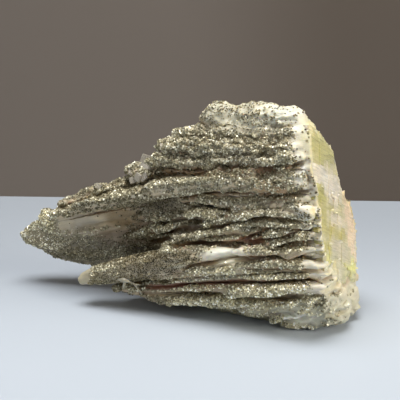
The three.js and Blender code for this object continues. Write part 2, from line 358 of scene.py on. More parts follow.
# %% Strands of the front
STRANDS = (  # how far it stands out, its reach above and below, then the X and Z of its points
    (1.0, 1.3, 0.8, 22, 38.4, 28.5, 40.4, 32.5, 40.6, 38.6, 42.3, 43.8, 42.6, 50, 40.6),
    (0.9, 1.1, 0.6, 13, 31.6, 18, 33.9, 25.6, 36.8, 30.4, 38.5, 35, 39.4, 44, 39.8),
    (1.1, 1.2, 0.9, 4.7, 24.6, 10.1, 27.4, 15.2, 29.8, 22.2, 32.4, 27.4, 34.5, 39.1, 37, 46, 37.6),
    (0.9, 0.8, 0.6, 1.6, 23.8, 11.9, 27.2, 17.2, 28.3, 24.1, 29.2, 29, 30.8),
    (0.7, 1.0, 0.8, 32.5, 31.0, 37.7, 33.4, 43, 34.5),
    (1.1, 1.0, 0.7, 34, 28.2, 39.3, 30.6, 42.5, 32.2, 45.9, 33.8, 51.5, 33),
    (0.8, 1.0, 0.9, -2, 21.8, 7.1, 23.5, 12.4, 24.4, 16, 24.8),
    (0.8, 1.0, 0.9, 26, 26.2, 33.6, 27.5, 38, 28),
    (0.9, 0.9, 0.6, 40, 27.5, 44.5, 28.7, 47.5, 29.6, 53, 30.2),
    (1.1, 1.1, 0.8, 18, 18.6, 22.1, 20.2, 26.9, 21.7, 33.7, 23.1, 40.9, 24.4, 47.5, 25, 53, 24.6),
    (1.1, 1.1, 0.8, 28, 17, 33.9, 18.5, 39.2, 19.7, 43.7, 20.9, 50, 21.8),
    (1.1, 1.2, 0.9, 19, 10.2, 25, 12.7, 30.3, 14.4, 34.3, 15.1, 40.2, 16.4, 44.8, 18, 52.5, 19.2),
    (0.7, 0.9, 1.0, -7, 4.6, 3.5, 5.5, 11.8, 6.9, 18.5, 7.9, 24, 7.9),
    (0.8, 0.8, 0.6, 2.5, 37.6, 8.7, 39.4, 16.1, 40, 23, 39),
    (0.9, 0.8, 0.6, 5, 33.3, 10.6, 35.6, 16.7, 36, 20, 34.6),
    (0.8, 0.8, 0.6, -2, 30.9, 3.2, 32.3, 8, 32),
    (0.7, 1.2, 1.0, -9, 41, -0.7, 43.3, 7, 45.1, 14.4, 46.9, 25.1, 48.8, 32.3, 50.2, 45, 52.2),
    (0.4, 1.2, 1.0, 3, 52.8, 10.8, 54.7, 18, 55.9, 24.9, 57.1, 32, 58.6),
    (0.7, 0.9, 0.7, -7, 29.6, -2.1, 31.4, 2.5, 32.1, 7.1, 32.6, 11.8, 33.2),
    (0.9, 0.9, 0.7, -17, 23, -13.4, 23.9, -9.5, 24.9, -3.8, 27.4, 0.5, 28.6, 5.1, 29.7, 10.4, 30.3),
    (0.8, 0.8, 0.7, 0.4, 23.2, 2.4, 24.6, 6.3, 27.2, 11.5, 28.9),
    (0.9, 0.9, 0.8, 33, 1.5, 37, 3.9, 42.3, 6.9, 46, 8.9, 48.6, 10.2, 51.6, 9.1),
    (-0.7, 0.7, 0.6, -5, 28.4, 0, 30.1, 5, 31.1, 11, 31.8),
    (-0.9, 0.8, 0.8, -8.9, 23.3, -5.2, 24.4, -1.2, 26.2, 5.1, 28.3, 10.7, 29.6),
    (-0.9, 0.8, 0.8, -9.8, 20.2, -6.5, 21.2, -3, 22.7, -0.1, 24.6),
    (-0.6, 0.7, 0.7, 36, 1.5, 39.8, 2.7, 44.5, 4, 49.7, 6.7),
    (-0.8, 0.6, 0.6, 17, 31, 21.5, 32.9, 27.3, 35.7, 33.1, 37.2, 39.2, 38.4, 46, 39),
    (-1.2, 0.9, 0.8, 3, 22.9, 8, 24.7, 13.9, 26.1, 20.8, 27.2, 25.9, 28.6, 32.1, 32.1, 37.4, 34.9),
    (-0.8, 0.6, 0.6, 33, 32.5, 37.4, 34.7, 42.9, 35.9, 48, 35.6),
    (-1.1, 1.0, 0.9, 21, 27.4, 26, 28, 30, 28.8, 35, 30.3),
    (-0.6, 0.5, 0.5, 34, 30, 39, 32, 42.5, 33.6, 46, 35.2),
    (-0.8, 0.6, 0.6, 35.5, 27.6, 39.3, 29.2, 42.6, 30.9, 46.7, 31.8, 52, 31.6),
    (-1.0, 0.8, 0.9, 8, 18, 10.6, 18.8, 15.5, 20.6, 20.3, 22.8, 26.9, 24.5, 34.1, 25.5, 43, 25.9),
    (-0.4, 0.4, 0.5, 41, 25.9, 45, 26.2, 50, 26.2),
    (-0.7, 0.5, 0.6, 42.4, 26.4, 45.2, 27.2, 49.6, 28.4, 53, 28.7),
    (-0.45, 0.5, 0.5, 29, 21, 34.4, 21.6, 38.6, 22.4, 43.3, 23.1, 47.8, 23.6, 53, 23.6),
    (-1.2, 0.9, 0.9, -13, 7.8, -8.6, 8.6, -2.9, 9.3, 2.5, 10.2, 9.7, 12, 18.4, 14.2, 24.1, 15.6, 30.2, 16.3,
        34.2, 16.9, 38.4, 18, 43.2, 19, 49, 19.9),
    (-0.8, 0.9, 0.9, 27, 9.6, 32.7, 10.6, 38.7, 11.7, 45.4, 13.2, 52, 14.2),
    (-0.3, 0.8, 0.6, -10, 42.5, -1.5, 44.9, 6.5, 46.9, 14, 48.4, 24.6, 50.5, 31.9, 51.7, 45, 53.9),
    (-0.7, 0.8, 0.7, 3, 36, 10, 37.6, 17, 38.2, 23, 37.2),
    (-0.25, 0.9, 0.7, 3, 51.2, 10.8, 52.7, 18, 53.9, 27, 55),
)
SLAB_FRONT = ((12, 21, 25, 30, 34, 40, 44, 49, 52, 57, 60, 66),
              (-4, -13, -16.3, -17.8, -18.6, -16.6, -16.6, -17.4, -19.3, -19.8, -18.3, -17.2))
RUNS_ON = 43.5  # mm along X; a strand that ends beyond it runs on round the corner to the broken face
CREST_DROP = 0.5  # mm; the lines of the crests follow their lit tops, a little above what stands out most
BULGES = (  # place, radii and height of rounded ends and swellings
    ((47, -17.5, 40.2), (4.5, 5, 3.2), 1.3),
    ((48.5, -17, 36.2), (3.2, 5, 1.6), 0.9),
    ((51, -16.8, 24.4), (3.2, 5, 2.0), 1.0),
    ((21, -18.5, 23.4), (10, 6, 3.2), 2.3),
    ((37, -18, 46.5), (8, 6, 2.6), 0.7),
    ((43, -16.5, 49.5), (4, 5, 2.8), 0.8),
    ((51, -8, 69), (9, 12, 6), -2.6),
    ((57, -4, 11), (6, 6, 4), 0.5),
    ((57, 6, 4), (6, 6, 4), 0.1),
    ((52, 20, 27), (6, 5, 9), 0.4),
    ((44, 21, 23), (10, 6, 10), -1.3),
    ((47, -9, 67), (5, 10, 5), -1.4),
)


def strands(points):
    """How far each point lies on a crest, and in a groove, of the strands: both about 0 to 1."""
    x, z = points[:, 0], points[:, 2] + 0.4 * wavy(points, (8, 8, 30), 21.7)
    crest, groove = np.zeros(len(points)), np.zeros(len(points))
    for height, above, below, *line in STRANDS:
        xs, zs = line[::2], line[1::2]
        off = z - np.interp(x, xs, zs) + (CREST_DROP if height > 0 else 0)
        along = step(x, xs[0] - 1, xs[0] + 2.5)
        if xs[-1] < RUNS_ON:
            along *= step(x, xs[-1] + 1, xs[-1] - 2.5)
        shape = abs(height) * np.exp(-(off / np.where(off > 0, above, below)) ** 2) * along
        kind = crest if height > 0 else groove
        np.maximum(kind, shape, out=kind)
    return crest, groove


# %% [markdown]
# Every crystal dips towards the left by the same slope. Taking that slope away from a point's height
# gives its place in the stack: points of one crystal share it. Noise that is long along the crystals
# and short across the stack makes the fine ridges between the big ones: lenses that start and end.
# The stack is bent a little as well, so that no ridge runs dead straight.

# %% Place in the stack, and the broken face's plane
SLOPE = 0.235  # how much the crystals rise for each mm along X
GROOVE_SLOPE = 0.13  # the same for the long groove between the upper and the middle crystals
BEND = 2.0  # mm


def stacked(points, bend=0.0):
    """Points with the dip taken away, so that a crystal lies level. bend is how far it sways, in mm."""
    level = points.copy()
    level[:, 2] -= SLOPE * points[:, 0]
    if bend:
        level[:, 2] += bend * wavy(points, (26, 14, 12), 8.8)
    return level


def ridged(points, size, seed=0.0):
    """Noise folded into sharp crests: 1 on a crest and about 0 in the trough between two."""
    return 1 - np.minimum(1, 2.6 * np.abs(wavy(points, size, seed)))


def groove_band(points):
    return zone(points - points[:, :1] * [0, 0, GROOVE_SLOPE], (27, -12, 46.9), (34, 8, 2.6), 0.4)


def front_side(points):
    """1 on the ridged front, to the right of the horn, and 0 elsewhere."""
    return step(points[:, 1], -3, -6) * step(points[:, 0], -18, -10)


def past_face(points):
    """How far the points stand out past the broken face's plane, in mm: less than 0 in the mass."""
    return points @ np.array(face_normal) - face_level


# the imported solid's faces that look towards +X give the plane: the one in the middle of their area
facing = sorted((f for f in node.data.polygons if f.normal.x > 0.95), key=lambda f: f.center.dot(f.normal))
reached = np.cumsum([f.area for f in facing])
middle_face = facing[int(np.searchsorted(reached, reached[-1] / 2))]
face_normal = middle_face.normal.copy()
face_level = middle_face.center.dot(face_normal) / MM
print("broken face: normal", [round(v, 3) for v in face_normal], "at", round(face_level, 2), "mm")

# %% [markdown]
# The front's grooves are grown shut first, to be parted again along the strands. The back's are only
# partly closed. The front corner is worn before it gets its ridges.

# %% Close the grooves
points, normals = points_of(skin.data), normals_of(skin.data)
x, y, z = points.T  # these follow when the points move


def soften(share, rounds):
    """Moves the points towards their relaxed places, by a share from 0 to 1."""
    points[:] += (relaxed(skin.data, points, rounds) - points) * share[:, None]


from_face = past_face(points)
on_face = step(normals @ np.array(face_normal), 0.75, 0.93) * step(from_face, -2.0, -0.8)
on_ground = step(normals[:, 2], -0.6, -0.9) * step(z, 1.5, 0.5)
free = (1 - on_face) * (1 - on_ground)
level = stacked(points, BEND)

hollow = ((relaxed(skin.data, points, 150) - points) * normals).sum(axis=1)
in_front = front_side(points)
grown_shut = 0.35 + 0.8 * step(level[:, 2], 33, 37)
grown_shut += (1 - grown_shut) * in_front * step(z, 3, 8)
points += normals * (np.clip(hollow, 0, 4) * grown_shut * free)[:, None]

slab_front = np.interp(z, *SLAB_FRONT)
corner = step(-past_face(points), 7, 3) * step(y - slab_front, 1, -1) * step(z, 14, 20)
soften(0.75 * corner, 40)

# %% [markdown]
# Each kind of relief is worked out on its own, and has its own places: fine layers and small lumps on
# the ridges, boulders on the cap, and knobbly growth on the foot. The horn and the prong stay calm. The
# strands stand out along the surface's smooth overall direction, so that they do not curl.

# %% Fine ridges and lumps
cap = zone(points, (24, 3, 66), (34, 24, 13))
horn = step(x, -8, -24) * step(level[:, 2], 41, 35)
prong = zone(points, (-6, -17, 16), (34, 9, 10), 0.3)
sway = step(z, 3, 12) * step(from_face, -1, -14) * (1 - horn) * (1 - prong)
z += 0.9 * wavy(points, (15, 12, 10), 12.3) * sway

foot = zone(points, (54, -5, 6), (11, 22, 12), 0.5)
calm = 1 - np.clip(0.92 * horn + 0.75 * prong + 0.8 * foot, 0, 1)
stranded = in_front * (1 - cap)
upper = step(z, 44, 50)
layers = 1.0 * (ridged(level, (15, 30, 3.1)) - 0.45) + 0.7 * (ridged(level, (9, 20, 1.6), 5.3) - 0.45)
layers *= (1 - 0.6 * stranded * (1 - 0.7 * upper)) * (1 - 0.5 * upper * in_front)
swells = 0.7 * wavy(level, (11, 11, 5), 15.1)
lumps = 0.5 * wavy(points, (4, 4, 3), 2.7) + 0.38 * wavy(points, (1.9, 1.9, 1.6), 9.1)
lumps *= (1 - 0.5 * stranded * (1 - 0.8 * upper)) * (1 + 0.6 * upper * stranded)
lumps *= 1 - 0.6 * step(from_face, -9, -4) * upper
boulders = 0.5 * wavy(points, (9, 9, 7), 4.4) + 0.3 * wavy(points, (4, 4, 3.4), 6.2)
cauliflower = 1.6 * wavy(points, (6, 5, 4), 31.2) + 0.8 * wavy(points, (2.8, 2.8, 2.4), 17.9)
crumbs = 0.7 * (ridged(points, (6, 5, 1.2), 61.7) - 0.5) + 0.35 * wavy(points, (1.5, 1.5, 1.1), 44.1)
amount = layers * calm * (1 - 0.95 * cap) + swells * calm * (1 - 0.6 * stranded)
amount += lumps * (0.3 + 0.7 * calm) + boulders * cap + cauliflower * foot
amount += crumbs * upper * stranded * (1 - 0.6 * step(from_face, -9, -4))

strand_crest, strand_groove = strands(points)
outward = relaxed(skin.data, normals, 25)
outward /= np.linalg.norm(outward, axis=1)[:, None]
relief = stranded * (1.5 * strand_crest - 2.8 * strand_groove)
relief *= 1 - upper * (0.5 + 0.4 * step(from_face, -9, -3))
relief += 1.3 * groove_band(points) * in_front
for place, radii, height in BULGES:
    relief += height * zone(points, place, radii, 1.0)
margin = step(y - slab_front, 4, 1)
relief *= (1 - on_face * (1 - margin)) * (1 - on_ground)
points += normals * (amount * free)[:, None] + outward * relief[:, None]

# %% [markdown]
# The prong ends bluntly. The corner between the front and the broken face is worn round, and more so
# at its foot, which also stands clear of the ground. At the end, the difference between the skin and a
# relaxed copy of it is added once more, which sharpens the crests, and the broken face is cut back a
# little, to leave room for its slabs, but not under the lumps at its foot.

# %% Worn ends and sharp crests
BLUNT_X = -29.4  # mm
SHARPEN = 0.6
FACE_CUT = 0.3  # mm

tip = zone(points, (-30, -19, 10.5), (8, 5, 6), 0.5)
short = BLUNT_X + 1.4 * np.logaddexp(0, (x - BLUNT_X) / 1.4)
x += (short - x) * step(tip, 0.0, 0.3)
z += 0.1 * (z - 10.4) * tip

heel = zone(points, (57, -17, 5), (13, 13, 17), 0.6)
soften(heel, 220)
soften(zone(points, (47, -10, 63), (9, 15, 12), 0.7), 60)  # the crown of the corner
z += 3.4 * zone(points, (57, -16, 0), (13, 14, 10), 0.8)
facets = ridged(points, (5, 4, 3.4), 51.3) + 0.6 * ridged(points, (2.4, 2.2, 1.8), 13.1)
points += normals * ((0.7 * cauliflower + 1.1 * (facets - 0.7)) * heel)[:, None]

sharper = np.clip(points - relaxed(skin.data, points, 14), -0.9, 0.9) * SHARPEN
points += sharper * free[:, None]
too_far = np.maximum(past_face(points) + FACE_CUT - 1.4 * margin, 0)
points -= np.array(face_normal) * (too_far * step(z, 10, 14))[:, None]
z[:] = np.maximum(z, 0)
set_points(skin.data, points)
print("shaped skin in mm:", points.min(axis=0).round(1), points.max(axis=0).round(1))

# %% Thin the skin to its budget
SKIN_TRIANGLES = 196_000


def triangles_of(mesh):
    return sum(len(p.vertices) - 2 for p in mesh.polygons)


triangles = triangles_of(skin.data)
thin = skin.modifiers.new("thin", "DECIMATE")
thin.ratio = min(1, SKIN_TRIANGLES / triangles)
apply_modifiers(skin)
skin.data.shade_smooth()
area = sum(p.area for p in skin.data.polygons) / MM ** 2
print("skin:", triangles, "triangles before,", len(skin.data.polygons), "after,", round(area), "square mm")

# %% [markdown]
# The broken face is barite's perfect cleavage. The crystal breaks along two sets of planes, so the face
# is a patchwork of flat slabs at slightly different levels. It is made as a mineral breaks: a plane
# outline of the face is cut by one set of planes, then each strip by the other, each cell is raised to
# its own level, and the edges are bevelled so that they catch the light.

# %% Outline of the broken face
SLAB_FOOT = 1.6  # mm behind the face, where the slabs start
WITHIN = 0.985  # the outline's size next to the solid's own section
SAME_PLACE = 1e-8  # metres
SLAB_TOPS = ((0.534, 60.2), (0.506, 59.8))  # each top edge's dip along Y, and its Z at Y 0


def on_plane(y, z, out=0.0):
    """A point of the broken face's plane, out mm in front of it, in metres."""
    x = (face_level + out - face_normal.z * z) / face_normal.x
    return Vector((x, y, z)) * MM


def cleave(parts, place, normal, dist=SAME_PLACE, **options):
    """Cuts the parts by a plane and gives all the faces that result."""
    made = bmesh.ops.bisect_plane(slabs, geom=parts, dist=dist, plane_co=place, plane_no=normal, **options)
    return [g for g in made["geom"] if isinstance(g, bmesh.types.BMFace)]


def bevel(bm, edges, width):
    bmesh.ops.bevel(bm, geom=edges, offset=width, affect="EDGES", segments=1, profile=0.5,
                    material=-1, clamp_overlap=True)


def everything():
    return slabs.verts[:] + slabs.edges[:] + slabs.faces[:]


slabs = solid_bmesh()
cleave(everything(), on_plane(0, 30, -SLAB_FOOT), face_normal, MERGE, clear_inner=True, clear_outer=True)
bmesh.ops.dissolve_limit(slabs, angle_limit=math.radians(6), verts=slabs.verts, edges=slabs.edges)
bmesh.ops.edgeloop_fill(slabs, edges=slabs.edges)
largest = max(slabs.faces, key=lambda f: f.calc_area())
bmesh.ops.delete(slabs, geom=[f for f in slabs.faces if f is not largest], context="FACES")
if largest.normal.dot(face_normal) < 0:
    bmesh.ops.reverse_faces(slabs, faces=slabs.faces)
heart = largest.calc_center_median()
shrink = Matrix.Translation(heart) @ Matrix.Diagonal((1, WITHIN, WITHIN, 1)) @ Matrix.Translation(-heart)
bmesh.ops.transform(slabs, matrix=shrink, verts=slabs.verts)
print("outline:", len(slabs.verts), "points,", round(largest.calc_area() / MM ** 2), "square mm")
for dip, top in SLAB_TOPS:
    cleave(everything(), on_plane(0, top), Vector((0, dip, 1)), clear_outer=True)

# %% [markdown]
# The steep planes cut the face into columns, and dipping planes cut each column into cells, of chance
# heights. Cells outside the worn front edge and the lumpy foot are left out.

# %% Cut it into cells
# mm along Y, at half height, where the steep planes cross
COLUMNS = (-16.5, -13.5, -11.0, -8.5, -6.0, -3.0, 1.0, 4.5, 8.0, 11.0, 14.0, 17.5)
HALF_HEIGHT = 35  # mm
COLUMN_LEAN = 0.42  # how far the steep planes lean back for each mm of height
CELL_HEIGHTS = (1.6, 2.4, 3.6, 5.5, 8.0)  # mm
FIRST_CUT, LAST_CUT = 2.0, 92  # mm, at Y 0
SLAB_LOWEST = ((-13, -6, 0, 8, 15), (21, 14.5, 12.6, 10, 6))  # Y, and the Z where the slabs end there


def parts_of(faces):
    """The faces with their points and edges. A dict keeps their order the same each run, as a set
    does not."""
    corners = dict.fromkeys(v for f in faces for v in f.verts)
    edges = dict.fromkeys(e for f in faces for e in f.edges)
    return [*corners, *edges, *faces]


for place in COLUMNS:
    cleave(parts_of(slabs.faces[:]), on_plane(place, HALF_HEIGHT), Vector((0, 1, -COLUMN_LEAN)))
strips = [[] for _ in range(len(COLUMNS) + 1)]
for face in slabs.faces:
    heart = face.calc_center_median() / MM
    strips[sum(heart.y - COLUMN_LEAN * (heart.z - HALF_HEIGHT) > place for place in COLUMNS)].append(face)
for strip in strips:
    cut = FIRST_CUT
    while cut < LAST_CUT:
        cut += random.choice(CELL_HEIGHTS)
        dip = 0.32 + 0.16 * min(1, cut / 60) + random.uniform(-0.03, 0.03)
        strip = cleave(parts_of(strip), on_plane(0, cut), Vector((0, dip, 1)))
outside = []
for face in slabs.faces:
    heart = face.calc_center_median() / MM
    front_end = np.interp(heart.z, *SLAB_FRONT) - 2 * (heart.z > 50)
    if heart.y < front_end or heart.z < np.interp(heart.y, *SLAB_LOWEST):
        outside.append(face)
bmesh.ops.delete(slabs, geom=outside, context="FACES")
print(len(slabs.faces), "cells")

# %% [markdown]
# Each cell is raised to its own terrace, and leans a little. Its points keep its middle and a chance
# shade, for its colour. The slabs dive under the skin along their outline, so that the skin's worn
# margin covers their sides.

# %% Raise the cells
TERRACE = 0.19  # mm, the height of one small step
SINK = 0.2  # mm that the lowest terrace lies behind the face
UNEVEN = 0.02  # mm of chance in each cell's level
LEAN = 0.02
SLAB_BEVEL = 0.06  # mm
LONGEST_EDGE = 0.9  # mm
DIVE = 0.8  # mm
DIVE_WIDTH = 1.5  # mm

rim = np.array([[e.verts[0].co.yz, e.verts[1].co.yz] for e in slabs.edges if e.is_boundary]) / MM
bmesh.ops.split_edges(slabs, edges=slabs.edges)
cell = slabs.verts.layers.float_vector.new("cell")
raised = bmesh.ops.extrude_discrete_faces(slabs, faces=slabs.faces[:])["faces"]
rims = []
for face in raised:
    heart = face.calc_center_median()
    spot = Vector((heart.y / MM, heart.z / MM, 0))
    terrace = round(5 * (0.5 + 0.5 * noise.noise(spot * 0.13))) * TERRACE
    level_out = SLAB_FOOT - SINK + terrace + random.uniform(-UNEVEN, UNEVEN)
    lean = random.uniform(-LEAN, LEAN), random.uniform(-LEAN, LEAN)
    shade = random.random()
    for v in face.verts:
        tilt = (v.co.y - heart.y) * lean[0] + (v.co.z - heart.z) * lean[1]
        v.co += face_normal * (level_out * MM + tilt)
        v[cell] = (spot.x, spot.y, shade)
    rims.extend(face.edges)
bevel(slabs, rims, SLAB_BEVEL * MM)
bmesh.ops.triangulate(slabs, faces=[f for f in slabs.faces if len(f.verts) > 4])
for _ in range(4):
    long_edges = [e for e in slabs.edges if e.calc_length() > LONGEST_EDGE * MM]
    bmesh.ops.subdivide_edges(slabs, edges=long_edges, cuts=1)
bmesh.ops.triangulate(slabs, faces=slabs.faces)
# the triangles come out in another order each run, so they are put in order of their corners
slabs.verts.index_update()
corner_count = len(slabs.verts)
slabs.faces.sort(key=lambda f: sum(v.index * corner_count ** i for i, v in enumerate(f.verts)))
bmesh.ops.dissolve_degenerate(slabs, dist=0.002 * MM, edges=slabs.edges)

start, along = rim[:, 0], rim[:, 1] - rim[:, 0]
length = np.maximum((along ** 2).sum(axis=1), 1e-6)
for v in slabs.verts:
    spot = np.array(v.co.yz) / MM - start
    share = np.clip((spot * along).sum(axis=1) / length, 0, 1)
    nearest = np.sqrt(((spot - along * share[:, None]) ** 2).sum(axis=1).min())
    v.co -= face_normal * (DIVE * MM * max(0.0, 1 - nearest / DIVE_WIDTH) ** 1.5)

# %% [markdown]
# Here and there a small chipped facet faces halfway between the lamp and the eye, and flashes. Each is
# a thin plate that lies in the face, turned that way.

# %% Chips that flash
CHIPS = (  # middles, by Y and Z in mm
    (-15.1, 46.5), (-11.1, 47.1), (-2.9, 43.2), (-0.9, 40.8), (2.4, 41.2), (-4.1, 38.2), (-1.7, 36.6),
    (-10.4, 29.3), (-3.6, 22.6), (-0.6, 27.1), (-10.3, 23.8), (-1.6, 20.1), (7.1, 17.7), (11.5, 15.0),
)
CHIP_THICKNESS = 0.2  # mm
CHIP_OUT = 0.34  # mm that its middle stands out from the face
TO_LAMP = Vector((0.13, 0.03, 0.99))
flash = (towards_camera + TO_LAMP).normalized().to_track_quat("Z", "X").to_matrix().to_4x4()
for y, z in CHIPS:
    width, length = random.uniform(0.4, 0.6), random.uniform(0.9, 1.7)
    size = Matrix.Diagonal((width * MM, length * MM, CHIP_THICKNESS * MM, 1))
    twist = Matrix.Rotation(random.uniform(-0.2, 0.2), 4, "Z")
    where = Matrix.Translation(on_plane(y, z, CHIP_OUT))
    bmesh.ops.create_cube(slabs, size=1, matrix=where @ flash @ twist @ size)
slab_mesh = mesh_from(slabs, "cleavage_slabs")
cleavage = show("cleavage_slabs", slab_mesh)
print("slabs:", len(slab_mesh.polygons), "faces")

# %% [markdown]
# The crust covers the crests and the open flanks, and leaves the undersides, the grooves and a few
# smooth flanks bare. How far a point lies below the skin's relaxed copy tells grooves from crests.
# Zones that no rule gives are ellipsoids, in the mass or, for bands along the crystals, in the stack.

# %% Zones of the skin
mesh = skin.data
points, normals = points_of(mesh), normals_of(mesh)
x, y, z = points.T
level, bent = stacked(points), stacked(points, BEND)
offset = ((relaxed(mesh, points, 16) - points) * normals).sum(axis=1)
groove = step(offset, 0.05, 0.7)
crest = step(-offset, 0.05, 0.5)
behind_face = -past_face(points)
on_face = step(normals @ np.array(face_normal), 0.5, 0.9) * step(behind_face, 2.5, 1.0)
under = step(normals[:, 2], -0.15, -0.65)
over = step(normals[:, 2], 0.0, 0.5)
broad = 0.5 + 0.5 * wavy(bent, (12, 10, 5), 3.3)
fine = 0.5 + 0.5 * wavy(bent, (2.4, 2.4, 1.3), 1.7)


def near(*place):
    """A zone of the skin: its middle, its radii and maybe its softness."""
    return zone(points, *place)


def in_stack(*place):
    return zone(level, *place)


edge_width = 4.5 + 1.2 * step(z, 44, 52)
white_edge = step(behind_face + 4 * (broad - 0.5), edge_width + 1.5, edge_width - 1.5) * step(z, 12, 20)
smooth_horn = near((-31, -7, 23.2), (19, 8, 7.4), 1.0)
prong = near((-6, -18, 16), (34, 6, 9), 0.3)
prong_tip = near((-28.3, -20, 11), (4.0, 5, 4.6), 0.3)
prong_patch = in_stack((22.5, -19, 19.9), (11.5, 6, 2.9), 0.8)
foot = near((52, -12, 7), (16, 16, 10), 0.4)
back_foot = near((55, 5, 6), (8, 12, 9), 0.4)
low_white = near((44, -12.5, 4.8), (10.5, 8, 3.4), 0.8)
top = near((25, -2, 69), (30, 22, 11))
top_cluster = near((30, -11.5, 66.5), (7, 6, 3.2), 0.6)
top_band = near((36, -8, 68), (10, 9, 5))
recess = near((-2, -6, 24), (22, 9, 9), 0.6)
long_groove = groove_band(points) * (1 - 0.6 * white_edge)
prong_seam = in_stack((24, -19, 17.1), (16, 6, 1.4))
prong_flank = in_stack((6, -19, 13.0), (16, 6, 1.6))
red_seam = in_stack((3, -16.5, 9.9), (16, 5, 1.5), 0.6)
low_groove = in_stack((22, -17, 9.3), (30, 8, 1.2))
low_flank = in_stack((20, -16, 7.2), (30, 8, 1.9))
in_front = front_side(points)
strand_crest, strand_groove = (in_front * shape for shape in strands(points))
upper = step(z, 45, 50) * in_front * (1 - top) * step(behind_face, 3, 6)
low = step(z, 22, 17) * in_front * step(behind_face, 3, 7) * step(x, 0, 8)
clean = 0.35 + 0.65 * step(level[:, 2], 29, 23)  # how bare the undersides are: less so high up

# %% Where the crust grows
CRUST_CLEARANCE = 0.4  # mm between the ground and the lowest crust
GROWTH_ZONES = (  # weight, middle, radii and maybe softness, where more crust grows, or less
    (1.1, (-51, -9, 19), (15, 9, 11), 1.0),
    (0.4, (-36, -7, 13), (20, 8, 6)),
    (0.5, (-34, -8, 11), (12, 8, 4)),
    (-0.4, (-36, -7, 20.5), (9, 6, 3)),
    (0.7, (-20, -19, 8.5), (9, 6, 3.5)),
    (0.7, (-14, -6, 19), (11, 5, 7)),
    (0.9, (-10, -8, 35.5), (20, 6, 5.5)),
    (0.4, (0, -7, 43.5), (10, 5, 2)),
    (0.5, (2, -18, 12), (16, 6, 3)),
    (1.05, (51, -14, 12.8), (9, 10, 3.4)),
)


def sum_of_zones(rows):
    return sum(weight * near(*place) for weight, *place in rows)


bands = 0.5 * long_groove + prong_seam + 0.8 * prong_flank + 0.9 * red_seam + low_groove + low_flank
growth = 0.52 + 1.4 * (fine - 0.5) + 0.7 * (broad - 0.5) + 0.6 * crest + 0.2 * over
growth += 0.35 * prong + 0.1 * recess + 0.5 * upper + 0.4 * low * (1 - strand_groove)
growth += 0.35 * strand_crest - 0.6 * strand_groove - (0.75 * groove + 0.55 * under) * clean
growth -= 0.8 * np.clip(bands, 0, 1) + 1.15 * smooth_horn * (1.3 - 0.6 * fine)
growth -= white_edge * (0.7 + 0.5 * step(z, 36, 31)) + 1.5 * prong_tip + 1.6 * prong_patch
growth -= 0.4 * foot + 1.5 * low_white + 0.75 * top + 0.5 * top_band - 1.0 * top_cluster + 2 * on_face
growth += sum_of_zones(GROWTH_ZONES)

# where the crust is thin it still stands in scattered clumps
clumps = step(0.6 * fine + 0.4 * wavy(points, (1.6, 1.6, 1.6), 77.3), 0.15, 0.45)
sparse = (0.12 + 0.6 * clumps) * top * (1 - 0.8 * top_band) * step(behind_face, 3, 9)
sparse += 0.3 * clumps * (0.4 * white_edge + 1.6 * foot * (1 - low_white))
sparse += 0.6 * near((-37, -7, 16.5), (18, 7, 5.5)) + 0.35 * clumps * near((-33, -7, 20.5), (17, 8, 5))
crust = np.maximum(step(growth, 0.2, 0.9) ** 1.5, sparse * (1 - on_face))
crust *= step(z, CRUST_CLEARANCE, CRUST_CLEARANCE + 0.6)
print("crusted share:", round(float(crust.mean()), 2))

# %% [markdown]
# The skin's colour is mixed at its points, in layers, from the most general to the most local: cream
# barite, pinkish undersides, rusty grooves, painted shade under the dense crust for the dark gaps
# between its grains, then single zones. Some zones are painted light and shade: a paler low front, and
# dark patches in the recess, behind the prong and on the horn's low side. A plain noise could not
# follow the shape like this. The shader reads the mix as an attribute.

# %% Colour of the skin
def tinted(base, colour, share):
    """Moves the points' colours towards one colour by a share from 0 to 1."""
    return base + (np.array(paint(*colour)[:3]) - base) * np.clip(share, 0, 1)[:, None]


def plain_tint(colour, points):
    return np.tile(np.array(paint(*colour)[:3]), (len(points), 1))


def store(mesh, name, values):
    """Stores one number, or one colour, for each point of a mesh."""
    colour = values.ndim == 2
    if colour:
        values = np.column_stack([values, np.ones(len(values))])
    layer = mesh.attributes.new(name, "FLOAT_COLOR" if colour else "FLOAT", "POINT")
    layer.data.foreach_set("color" if colour else "value", values.astype(np.float32).ravel())


